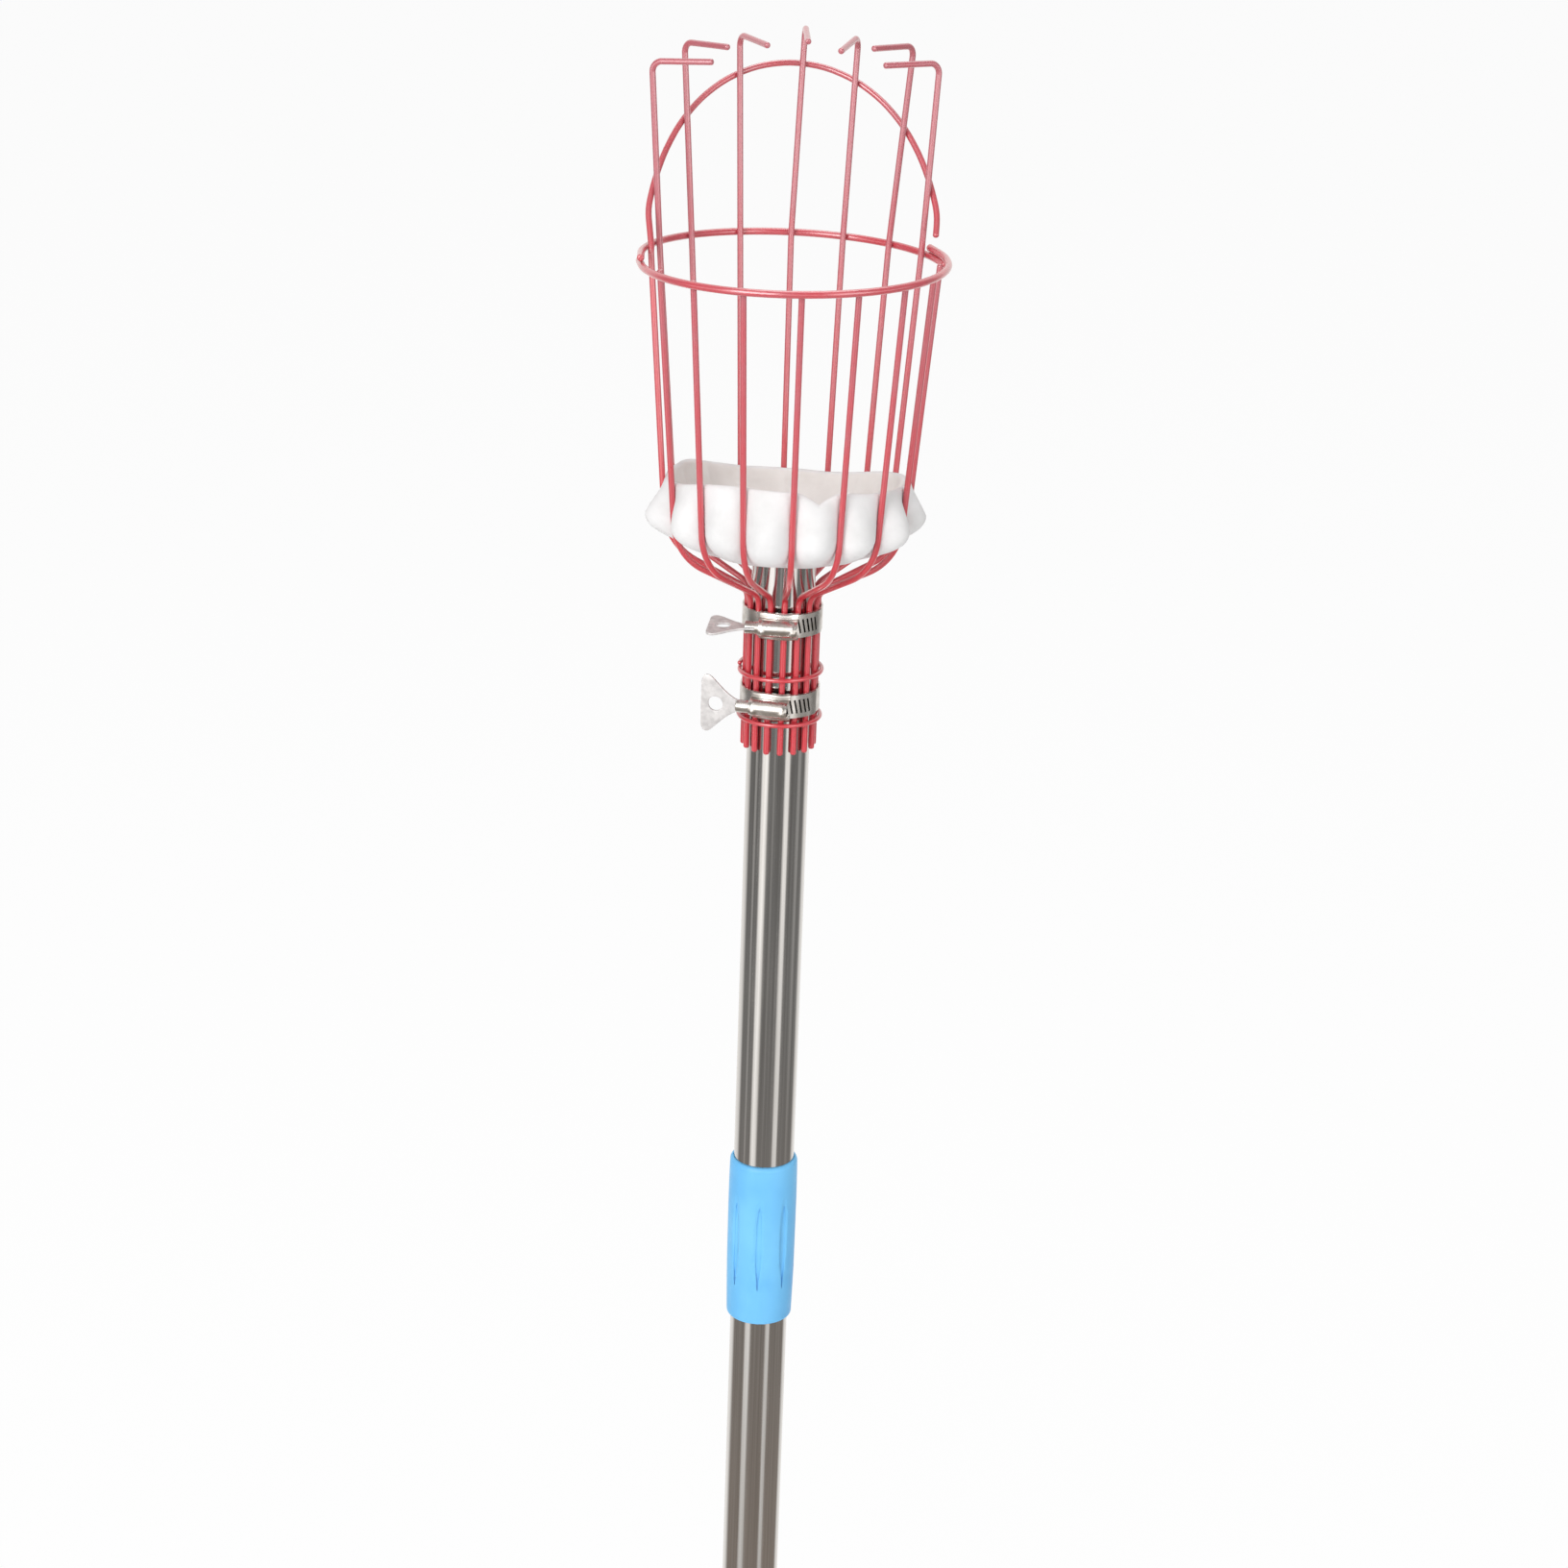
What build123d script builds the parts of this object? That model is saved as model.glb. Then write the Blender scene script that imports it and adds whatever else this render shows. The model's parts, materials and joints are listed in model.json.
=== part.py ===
from build123d import *
import os
from math import cos, degrees, radians, sin, tan

os.makedirs("parts", exist_ok=True)

# Pole: a thin lower tube that telescopes into the upper tube, lengths along Z
lower_tube_diameter = 26.8
lower_tube_wall = 0.4
lower_tube_length = 353.0
upper_tube_wall = 0.4
upper_tube_length = 374.5
exposed_length = 300.0  # foot to grip sleeve, with the pole drawn out
slide_clearance = 0.2  # lower tube in upper tube, radial
push_clearance = 0.05  # plugs and sleeve pushed on for good, radial
end_cap_flange = 2.0
end_cap_depth = 18.0
end_cap_wall = 2.0
end_cap_chamfer = 0.6

# Grip sleeve on the lower end of the upper tube
sleeve_length = 82.8
sleeve_wall_top = 1.6
sleeve_wall_waist = 1.9
sleeve_wall_bottom = 1.2
sleeve_waist = 48.0  # above the sleeve's lower end
sleeve_lip = 4.0
sleeve_lip_clearance = 0.3
sleeve_lip_round = 1.0
flute_count = 8
flute_length = 46.0
flute_depth = 0.8
flute_tool_radius = 6.0
flute_top_gap = 16.0
flute_turn = -97.0

# Twist lock at the top of the lower tube
plug_depth = 20.0
plug_flange = 3.0
lock_screw_diameter = 6.0
lock_screw_head_diameter = 10.0
lock_screw_head = 3.0
lock_screw_depth = 15.0
collet_length = 26.0
collet_base = 5.0
collet_clearance = 0.1
collet_wall_bottom = 5.0
collet_wall_top = 2.6
collet_slot = 1.2
collet_slots = 4
cone_length = 16.0
turn_clearance = 0.3  # faces and bores that turn on each other

# Basket of bent wires, heights measured from the plane of its ring
wire_diameter = 2.7
ring_wire_diameter = 3.2
binding_wire_diameter = 2.0
wire_count = 16
weld_gap = 0.15  # welded wires lie this close
basket_on_pole = 124.6  # pole top to ring plane
ring_line_radius = 62.0  # wire centre lines where they pass the ring
floor_radius = 52.0
basket_depth = 125.2
neck_depth = 19.7
bundle_length = 72.1
pole_clearance = 0.25  # bundled wires round the pole
floor_bend = 28.0
neck_bend = 8.0
ring_bend = 150.0
bend_share = 0.45  # part of each straight run that an even bend takes up
back_hoop_span = (8.0, 188.0)  # degrees; the ring is two hoops that lap at both sides
front_hoop_span = (176.0, 385.0)
hoop_run = 18.0  # degrees of a hoop to each straight run before it is bent

# Long finger wires along the back, left to right: degrees off their even places round the pole, height of the
# hook over the ring, then the degrees by which the wire leans aside, its hook droops and its hook turns aside
fingers = (
    (-1.2, 78.7, 1.7, -4.0, -2.0),
    (-1.6, 84.0, 2.1, -2.5, -5.0),
    (-2.7, 85.7, 0.7, 2.0, 3.0),
    (-1.5, 89.3, -2.8, 6.0, 4.0),
    (-0.5, 86.3, -1.6, 6.0, 5.0),
    (0.5, 85.3, -4.6, -2.5, 6.0),
    (2.4, 80.6, -0.2, -0.5, 3.0),
)
finger_slope = 0.056  # outwards, over the height
hook_length = 28.0
hook_bend = 4.5
short_wire_rise = 0.3
wire_end_round = 0.9

# Arch wire that leaves the left side and crosses behind the fingers
arch_height = 73.5
arch_fullness = 1.9
arch_span = 78.0  # degrees from the back to each foot
arch_end = 161.5  # degrees of the arch curve, 180 would close it
arch_points = 18
arch_spread = 3.5  # polygon corners outside the finger wires' centre lines
arch_spread_start = 4.0  # heights over which it moves out there
arch_spread_run = 12.0

# Binding rings round the bundle, below the neck
upper_binding_drop = 36.1
lower_binding_drop = 57.5
upper_binding_span = (165.0, 537.0)  # degrees; its ends lap
lower_binding_span = (93.0, 447.0)  # its ends butt with a gap at the back

# Foam pad in the bottom of the basket
foam_thickness = 6.5
foam_seat = 0.3
foam_floor_radius = 43.0
foam_bulge = 4.6  # how far it swells past the wire centre lines
foam_bulge_height = 14.0
foam_rim_front = 37.0  # above its bottom
foam_rim_back = 20.5
foam_rim_inset = 0.8
foam_rim_round = 2.2
foam_bend = 9.0
foam_floor_fold = 0.5  # parts of its thickness by which the inner corners move in and up
foam_bulge_fold = 0.33
groove_radius = 4.5
groove_clearance = 0.3
foam_corner_reach = 62.8
foam_corner_width = 13.0
foam_corner_low = 6.0  # heights of a poking corner above the foam's bottom
foam_corner_height = 17.0
foam_corner_high = 30.0
foam_corner_round = 2.0

# Worm-drive hose clamps with a thumb key
upper_clamp_drop = 11.7
lower_clamp_drop = 48.7
upper_clamp_turn = -8.0
lower_clamp_turn = -16.0
upper_key_turn = -90.0  # about the screw, flat to the front at 0
lower_key_turn = 0.0
band_width = 10.5
band_thickness = 0.7
band_clearance = 0.05
tail_start = -22.0  # degrees from the middle of the housing
tail_end = 74.0
slot_width = 0.9
slot_height = 6.4
slot_depth = 0.55
slot_pitch = 7.0
slot_first = 15.0
slot_count = 7
slot_slant = 12.0
housing_length = 17.5
housing_wall = 0.8
housing_flange = 1.7
barrel_wall = 0.7
barrel_blend = 1.0
worm_diameter = 5.6
worm_clearance = 0.3
worm_chamfer = 0.6
worm_inset = 1.0
head_diameter = 5.6
head_length = 5.5
head_gap = 0.3
head_round = 0.6
key_thickness = 1.5
key_slot_clearance = 0.05
key_length = 20.5
key_height = 25.0
key_waist = 9.0
key_corner = 2.6
key_shoulder = 4.5
key_side_radius = 24.0
key_hole = 6.6
key_hole_inset = 6.8
key_seat = 4.5

# Places that follow from the sizes above
wire_radius = wire_diameter / 2
lower_tube_radius = lower_tube_diameter / 2
lower_bore_radius = lower_tube_radius - lower_tube_wall
upper_bore_radius = lower_tube_radius + slide_clearance
upper_tube_radius = upper_bore_radius + upper_tube_wall
lower_tube_top = end_cap_flange + lower_tube_length
sleeve_top = exposed_length + sleeve_length
upper_tube_bottom = exposed_length + sleeve_lip
upper_tube_top = upper_tube_bottom + upper_tube_length
ring_height = upper_tube_top + basket_on_pole
bundle_radius = upper_tube_radius + pole_clearance + wire_radius
bundle_skin = bundle_radius + wire_radius
floor_height = ring_height - basket_depth
neck_height = floor_height - neck_depth
bundle_bottom = neck_height - bundle_length
wall_lean = (ring_line_radius - floor_radius) / basket_depth
ring_radius = ring_line_radius + (wire_diameter + ring_wire_diameter) / 2 + weld_gap
ring_pitch = ring_wire_diameter + weld_gap
binding_radius = bundle_radius + (wire_diameter + binding_wire_diameter) / 2 + weld_gap
binding_pitch = binding_wire_diameter + weld_gap
wire_step = 360 / wire_count
finger_count = wire_count // 2 - 1
front = -90  # angle of the basket's open side
on_bottom = (Align.CENTER, Align.CENTER, Align.MIN)
round_axis = (Align.NONE, Align.NONE, Align.CENTER)
lock_screw_radius = lock_screw_diameter / 2
collet_radius = upper_bore_radius - collet_clearance
collet_bottom = lower_tube_top + plug_flange + turn_clearance
collet_floor = collet_bottom + collet_base
lock_screw_bottom = lower_tube_top + plug_flange - lock_screw_depth
lock_head_bottom = collet_bottom + collet_length + turn_clearance
band_inner = bundle_skin + band_clearance
band_middle = band_inner + band_thickness
band_outer = band_middle + band_thickness
worm_radius = worm_diameter / 2
worm_axis = band_outer + worm_clearance + worm_radius


def wall_radius(height):
    # Wire centre line of the basket's side at a height above the ring plane
    if height > 0:
        return ring_line_radius + finger_slope * height
    return ring_line_radius + wall_lean * height


def tube(outer_radius, inner_radius, bottom, length):
    return extrude(Pos(0, 0, bottom) * (Circle(outer_radius) - Circle(inner_radius)), amount=length)


def rod(radius, bottom, length):
    return extrude(Pos(0, 0, bottom) * Circle(radius), amount=length)


def widest_bends(points):
    # Bend radii that nearly use up the straight runs, for an even curve
    radii = []
    for before, here, after in zip(points, points[1:], points[2:]):
        into = Vector(*here) - Vector(*before)
        out = Vector(*after) - Vector(*here)
        half_turn = radians(into.get_angle(out)) / 2
        radii.append(bend_share * min(into.length, out.length) / tan(half_turn))
    return radii


def bent_wire(points, bends, diameter=wire_diameter):
    # Round wire along straight runs joined by bends, with its cut ends rounded
    path = FilletPolyline(*points, radius=bends)
    section = Plane(origin=path @ 0, z_dir=path % 0) * Circle(diameter / 2)
    body = sweep(section, path=path)
    ends = body.faces().filter_by(GeomType.PLANE)
    return fillet(ends.edges(), wire_end_round)


def wire_root(top):
    # Run of every basket wire from the bundle's end up to a point on its side
    return [
        (bundle_radius, 0, bundle_bottom),
        (bundle_radius, 0, neck_height),
        (floor_radius, 0, floor_height),
        (wall_radius(top), 0, ring_height + top),
    ]


def finger_wire(angle, height, lean, droop, skew):
    corner = Vector(wall_radius(height), 0, ring_height + height).rotate(Axis.Z, lean)
    hook = Vector(-hook_length, 0, 0).rotate(Axis.Y, -droop).rotate(Axis.Z, lean + skew)
    points = wire_root(0) + [corner, corner + hook]
    return Rot(0, 0, angle) * bent_wire(points, [neck_bend, floor_bend, ring_bend, hook_bend])


def short_wire(angle):
    return Rot(0, 0, angle) * bent_wire(wire_root(short_wire_rise), [neck_bend, floor_bend])


def arch_curve(step):
    # Point of the arch on the basket's side, from its left foot towards its free right end
    curve = radians(arch_end * step / arch_points)
    height = arch_height * sin(curve) ** arch_fullness
    angle = radians(90 + arch_span * cos(curve))
    spread = arch_spread * min(1, max(0, height - arch_spread_start) / arch_spread_run)
    radius = wall_radius(height) + spread
    return (radius * cos(angle), radius * sin(angle), ring_height + height)


def arch_wire():
    root = [(-radius, 0, height) for radius, _, height in wire_root(0)[:-1]]
    points = root + [arch_curve(step) for step in range(arch_points + 1)]
    return bent_wire(points, [neck_bend, floor_bend] + widest_bends(points)[2:])


def wire_hoop(radius, height, span, climb, diameter):
    # Round of wire from one angle to another, climbing so that ends which lap lie on each other
    start, end = span
    runs = round((end - start) / hoop_run)
    step = (end - start) / runs
    corner_radius = radius / cos(radians(step / 2))
    points = []
    for number in range(runs + 1):
        angle = radians(start + step * number)
        rise = climb * (number / runs - 0.5)
        points.append((corner_radius * cos(angle), corner_radius * sin(angle), height + rise))
    return bent_wire(points, widest_bends(points), diameter)


def ring_hoop(span):
    # Half of the ring; its climb leaves room for the other half where they lap
    lap = front_hoop_span[1] - 360 - back_hoop_span[0]
    climb = ring_pitch / (1 - lap / (back_hoop_span[1] - back_hoop_span[0]))
    return wire_hoop(ring_radius, ring_height, span, climb, ring_wire_diameter)


def foam_bowl():
    # Bowl of even thickness, its rim cut on a slope that drops towards the back
    bottom = upper_tube_top + foam_seat
    level = bottom - ring_height
    top = foam_rim_front + foam_thickness
    bulge_radius = wall_radius(level + foam_bulge_height) + foam_bulge
    rim_radius = wall_radius(level + foam_rim_front) - foam_rim_inset
    bodies = []
    for inset in (0, foam_thickness):
        side = FilletPolyline(
            (0, bottom + inset),
            (foam_floor_radius - foam_floor_fold * inset, bottom + inset),
            (bulge_radius - inset, bottom + foam_bulge_height + foam_bulge_fold * inset),
            (rim_radius - inset, bottom + top),
            radius=foam_bend,
        )
        lid = Polyline(side @ 1, (0, bottom + top), side @ 0)
        bodies.append(revolve(Plane.XZ * make_face(side + lid), axis=Axis.Z))
    bowl = bodies[0] - bodies[1]
    tilt = degrees((foam_rim_front - foam_rim_back) / (2 * rim_radius))
    middle = bottom + (foam_rim_front + foam_rim_back) / 2
    above_rim = Box(4 * rim_radius, 4 * rim_radius, 2 * top, align=on_bottom)
    bowl = bowl - Pos(0, 0, middle) * Rot(-tilt, 0, 0) * above_rim
    rim = bowl.faces().filter_by(GeomType.PLANE).sort_by(Axis.Z)[-1]
    return fillet(rim.edges(), foam_rim_round)


def foam_corner(angle):
    # Corner of the foam sheet that pokes out between two wires
    bottom = upper_tube_top + foam_seat
    root_radius = wall_radius(bottom - ring_height) - foam_thickness / 2
    outline = Polyline(
        (root_radius, bottom + foam_corner_low),
        (foam_corner_reach, bottom + foam_corner_height),
        (root_radius, bottom + foam_corner_high),
        close=True,
    )
    corner = extrude(Plane.XZ * make_face(outline), amount=foam_corner_width / 2, both=True)
    tip = corner.edges().sort_by(Axis.X)[-1]
    return Rot(0, 0, angle) * fillet(tip, foam_corner_round)


def foam_groove(angle, lean):
    # Dent that a basket wire presses into the outside of the foam
    neck = Vector(bundle_radius, 0, neck_height)
    corner = Vector(floor_radius, 0, floor_height)
    top = Vector(ring_line_radius, 0, ring_height).rotate(Axis.Z, lean)
    path = FilletPolyline((neck + corner) / 2, corner, (corner + top) / 2, radius=floor_bend)
    shift = groove_radius - wire_radius - groove_clearance
    across = Plane(origin=path @ 0, x_dir=(0, 1, 0), z_dir=path % 0)
    section = across * Pos(0, -shift) * Circle(groove_radius)
    return Rot(0, 0, angle) * sweep(section, path=path)


def foam_pad():
    pad = foam_bowl()
    for angle in (180 + wire_step / 2, -wire_step / 2):
        pad = pad + foam_corner(angle)
    grooves = [foam_groove(angle, 0) for name, angle in wire_angles.items() if name != "arch_wire"]
    return pad - grooves - foam_groove(wire_angles["arch_wire"], arch_span - 90)


def hose_band():
    # Band round the bundle, with the slotted tail lapped over it
    band = tube(band_middle, band_inner, -band_width / 2, band_width)
    tail = Cylinder(band_outer, band_width, tail_end - tail_start, align=round_axis)
    band = band + Rot(0, 0, front + tail_start) * tail
    band = band - Cylinder(band_inner, 2 * band_width)
    slot = Box(2 * slot_depth, slot_width, slot_height)
    for number in range(slot_count):
        angle = front + slot_first + slot_pitch * number
        band = band - Rot(0, 0, angle) * Pos(band_outer, 0, 0) * Rot(slot_slant, 0, 0) * slot
    return band


def worm_housing():
    # Pressed saddle over the tail with a barrel for the worm, its lips hooked over the band's edges
    band_room = band_width / 2 + band_clearance
    half_height = band_room + housing_wall
    flange_top = band_outer + housing_flange
    section = Pos(flange_top / 2, 0) * Rectangle(flange_top, 2 * half_height)
    section = section + Pos(worm_axis, 0) * Circle(worm_radius + worm_clearance + barrel_wall)
    creases = section.vertices().filter_by(lambda v: abs(v.Y) < band_room and v.X > flange_top / 2)
    section = fillet(creases, barrel_blend)
    side_plane = Plane(origin=(0, 0, 0), x_dir=(0, -1, 0), z_dir=(1, 0, 0))
    housing = extrude(side_plane * section, amount=housing_length / 2, both=True)
    housing = housing - Cylinder(band_outer + band_clearance, 2 * band_room)
    housing = housing - Cylinder(bundle_skin + 2 * band_clearance, 4 * half_height)
    bore = Pos(0, -worm_axis, 0) * Rot(0, 90, 0) * Cylinder(worm_radius + worm_clearance, 2 * housing_length)
    return housing - bore


def worm_screw(key_turn):
    # Worm shank in the barrel and the slotted head outside it, to the left
    shank_length = housing_length + head_gap - worm_inset
    shank = Cylinder(worm_radius, shank_length, align=on_bottom)
    shank = chamfer(shank.edges().sort_by(Axis.Z)[-1], worm_chamfer)
    head = Cylinder(head_diameter / 2, head_length, align=(Align.CENTER, Align.CENTER, Align.MAX))
    head = fillet(head.edges().sort_by(Axis.Z)[0], head_round)
    slot_depth_x = key_seat + key_slot_clearance
    slot = Box(2 * head_diameter, key_thickness + 2 * key_slot_clearance, 2 * slot_depth_x)
    screw = shank + head - Pos(0, 0, -head_length) * slot
    start = -housing_length / 2 - head_gap
    return Pos(start, -worm_axis, 0) * Rot(key_turn, 0, 0) * Rot(0, 90, 0) * screw


def thumb_key(key_turn):
    # Fishtail plate held in the slot of the screw's head
    half = key_height / 2
    waist = key_waist / 2
    outline = Polyline((key_length, -waist), (key_length, waist))
    outline += RadiusArc((key_length, waist), (key_shoulder, half), -key_side_radius)
    outline += Polyline((key_shoulder, half), (0, half), (0, -half), (key_shoulder, -half))
    outline += RadiusArc((key_shoulder, -half), (key_length, -waist), -key_side_radius)
    plate = make_face(outline)
    broad_end = plate.vertices().sort_by(Axis.X)[:4]
    plate = fillet(broad_end, key_corner) - Pos(key_hole_inset, 0) * Circle(key_hole / 2)
    key = extrude(Plane.XZ * plate, amount=key_thickness / 2, both=True)
    key_start = -housing_length / 2 - head_gap - head_length - (key_length - key_seat)
    return Pos(key_start, -worm_axis, 0) * Rot(key_turn, 0, 0) * key


def grip_sleeve():
    bore = upper_tube_radius + push_clearance
    lip_bore = lower_tube_radius + sleeve_lip_clearance
    lip_top = exposed_length + sleeve_lip
    waist_height = exposed_length + sleeve_waist
    outline = ThreePointArc(
        (bore + sleeve_wall_bottom, exposed_length),
        (bore + sleeve_wall_waist, waist_height),
        (bore + sleeve_wall_top, sleeve_top),
    )
    outline += Polyline(
        (bore + sleeve_wall_top, sleeve_top),
        (bore, sleeve_top),
        (bore, lip_top),
        (lip_bore, lip_top),
        (lip_bore, exposed_length),
        (bore + sleeve_wall_bottom, exposed_length),
    )
    sleeve = revolve(Plane.XZ * make_face(outline), axis=Axis.Z)
    foot_edges = sleeve.edges().group_by(Axis.Z)[0]
    sleeve = fillet(foot_edges.sort_by(SortBy.RADIUS)[-1], sleeve_lip_round)
    floor = bore + sleeve_wall_waist - flute_depth
    middle = sleeve_top - flute_top_gap - flute_length / 2
    bow = flute_length**2 / (8 * flute_depth)
    half_bow = degrees(flute_length / bow)
    profile = Pos(floor + flute_tool_radius, 0, middle) * Circle(flute_tool_radius)
    bow_axis = Axis((floor + bow, 0, middle), (0, 1, 0))
    flute = revolve(profile, axis=bow_axis, revolution_arc=2 * half_bow).rotate(bow_axis, -half_bow)
    flute_step = 360 / flute_count
    return sleeve - [Rot(0, 0, flute_turn + flute_step * number) * flute for number in range(flute_count)]


def end_cap():
    flange = rod(lower_tube_radius, 0, end_cap_flange)
    flange = chamfer(flange.edges().sort_by(Axis.Z)[0], end_cap_chamfer)
    spigot = lower_bore_radius - push_clearance
    return flange + tube(spigot, spigot - end_cap_wall, end_cap_flange, end_cap_depth)


def lock_plug():
    # Plug pushed into the top of the lower tube, with a hole that holds the lock screw
    spigot = lower_bore_radius - push_clearance
    body = rod(spigot, lower_tube_top - plug_depth, plug_depth)
    body = body + rod(lower_tube_radius, lower_tube_top, plug_flange)
    hole = rod(lock_screw_radius + push_clearance, lock_screw_bottom, 2 * plug_depth)
    return body - hole


def lock_screw():
    shank = rod(lock_screw_radius, lock_screw_bottom, lock_head_bottom - lock_screw_bottom)
    return shank + rod(lock_screw_head_diameter / 2, lock_head_bottom, lock_screw_head)


def lock_collet():
    # Split collar that grips the bore of the upper tube when the cone is drawn into it
    body = rod(collet_radius, collet_bottom, collet_length)
    hollow = Pos(0, 0, collet_floor) * Cone(
        collet_radius - collet_wall_bottom,
        collet_radius - collet_wall_top,
        collet_length - collet_base,
        align=on_bottom,
    )
    body = body - hollow - rod(lock_screw_radius + turn_clearance, collet_bottom, collet_length)
    slot = Box(4 * collet_radius, collet_slot, collet_length, align=on_bottom)
    for number in range(collet_slots // 2):
        body = body - Pos(0, 0, collet_floor) * Rot(0, 0, 360 / collet_slots * number) * slot
    return body


def lock_cone():
    # Tapered nut on the lock screw, matching the collet's taper
    taper = (collet_wall_bottom - collet_wall_top) / (collet_length - collet_base)
    wide = collet_radius - collet_wall_top - push_clearance
    narrow = wide - taper * cone_length
    cone = Cone(narrow, wide, cone_length, align=on_bottom)
    cone_bottom = collet_bottom + collet_length - cone_length
    bore = rod(lock_screw_radius + turn_clearance, cone_bottom, cone_length)
    return Pos(0, 0, cone_bottom) * cone - bore


wire_angles = {"side_wire": 0, "arch_wire": 180}
for number in range(1, finger_count + 1):
    turn = fingers[(number - 1) % len(fingers)][0]
    wire_angles[f"long_wire_{number}"] = 180 - wire_step * number + turn
    wire_angles[f"short_wire_{number}"] = 180 + wire_step * number

shapes = {
    "lower_tube": tube(lower_tube_radius, lower_bore_radius, end_cap_flange, lower_tube_length),
    "end_cap": end_cap(),
    "lock_plug": lock_plug(),
    "lock_screw": lock_screw(),
    "lock_collet": lock_collet(),
    "lock_cone": lock_cone(),
    "upper_tube": tube(upper_tube_radius, upper_bore_radius, upper_tube_bottom, upper_tube_length),
    "grip_sleeve": grip_sleeve(),
    "side_wire": short_wire(wire_angles["side_wire"]),
    "arch_wire": arch_wire(),
    "back_hoop": ring_hoop(back_hoop_span),
    "front_hoop": ring_hoop(front_hoop_span),
    "foam_pad": foam_pad(),
}
for number in range(1, finger_count + 1):
    finger = fingers[(number - 1) % len(fingers)][1:]
    shapes[f"long_wire_{number}"] = finger_wire(wire_angles[f"long_wire_{number}"], *finger)
    shapes[f"short_wire_{number}"] = short_wire(wire_angles[f"short_wire_{number}"])

clamps = (
    ("upper", upper_clamp_drop, upper_clamp_turn, upper_key_turn),
    ("lower", lower_clamp_drop, lower_clamp_turn, lower_key_turn),
)
for place, drop, turn, key_turn in clamps:
    seat = Pos(0, 0, neck_height - drop) * Rot(0, 0, turn)
    shapes[f"{place}_clamp_band"] = seat * hose_band()
    shapes[f"{place}_clamp_housing"] = seat * worm_housing()
    shapes[f"{place}_clamp_screw"] = seat * worm_screw(key_turn)
    shapes[f"{place}_clamp_key"] = seat * thumb_key(key_turn)

bindings = (
    ("upper", upper_binding_drop, upper_binding_span),
    ("lower", lower_binding_drop, lower_binding_span),
)
for place, drop, span in bindings:
    turns = (span[1] - span[0]) / 360
    climb = turns * binding_pitch if turns > 1 else 0
    binding = wire_hoop(binding_radius, neck_height - drop, span, climb, binding_wire_diameter)
    shapes[f"{place}_binding_ring"] = binding

for name, shape in shapes.items():
    export_step(shape, f"parts/{name}.step")
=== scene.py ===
import bmesh
import bpy
import json
import math
from mathutils import Matrix, Vector, noise


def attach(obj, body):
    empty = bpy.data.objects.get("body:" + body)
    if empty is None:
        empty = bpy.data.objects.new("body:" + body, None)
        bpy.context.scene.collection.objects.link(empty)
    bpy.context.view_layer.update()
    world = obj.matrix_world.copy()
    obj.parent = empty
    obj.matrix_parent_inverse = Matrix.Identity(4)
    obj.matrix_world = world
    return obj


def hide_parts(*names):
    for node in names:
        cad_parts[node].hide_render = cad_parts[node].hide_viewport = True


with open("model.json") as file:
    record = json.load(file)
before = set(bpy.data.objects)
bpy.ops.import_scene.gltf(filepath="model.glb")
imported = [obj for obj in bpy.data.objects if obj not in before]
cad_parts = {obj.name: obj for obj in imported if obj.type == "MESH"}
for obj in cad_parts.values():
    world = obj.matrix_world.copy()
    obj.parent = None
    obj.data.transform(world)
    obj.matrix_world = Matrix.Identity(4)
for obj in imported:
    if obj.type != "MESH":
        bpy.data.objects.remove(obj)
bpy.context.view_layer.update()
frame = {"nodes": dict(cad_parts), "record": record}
nodes = frame["nodes"]
scene = bpy.context.scene
scene.view_settings.view_transform = "Standard"
mm = 0.001
print("frame loaded:", len(nodes), "nodes")


def hexColour(code):  # sRGB hex to linear
    parts = [int(code[i:i + 2], 16) / 255 for i in (1, 3, 5)]
    return tuple(p / 12.92 if p <= 0.04045 else ((p + 0.055) / 1.055) ** 2.4 for p in parts) + (1,)


def setInputs(tree, node, inputs):  # links a socket, sets any other value
    for socket, value in inputs.items():
        if isinstance(value, bpy.types.NodeSocket):
            tree.links.new(value, node.inputs[socket])
        else:
            node.inputs[socket].default_value = value


def addNode(tree, kind, inputs=(), **settings):
    node = tree.nodes.new("ShaderNode" + kind)
    for name, value in settings.items():
        setattr(node, name, value)
    setInputs(tree, node, dict(inputs))
    return node


def newMaterial(name):
    material = bpy.data.materials.new(name)
    material.use_nodes = True
    tree = material.node_tree
    return material, tree, tree.nodes["Principled BSDF"], addNode(tree, "TexCoord").outputs["Object"]


wireCoat = {
    "tints": ((0, "#cf303d"), (1, "#b8626c")),  # the coat's red, and paler with painted white sheen towards the fingers
    "sheenFrom": 650, "sheenTo": 840, "hoopSheenTo": 1000,  # mm above the foot over which the painted sheen grows; the ring and the arch get less of it and stay redder
    "mottle": 14, "mottleShare": 0.4,  # mm, where the coat runs thinner
    "peel": 1.1,  # mm, ripple of the set coat, drawn coarse enough to show
}


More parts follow.
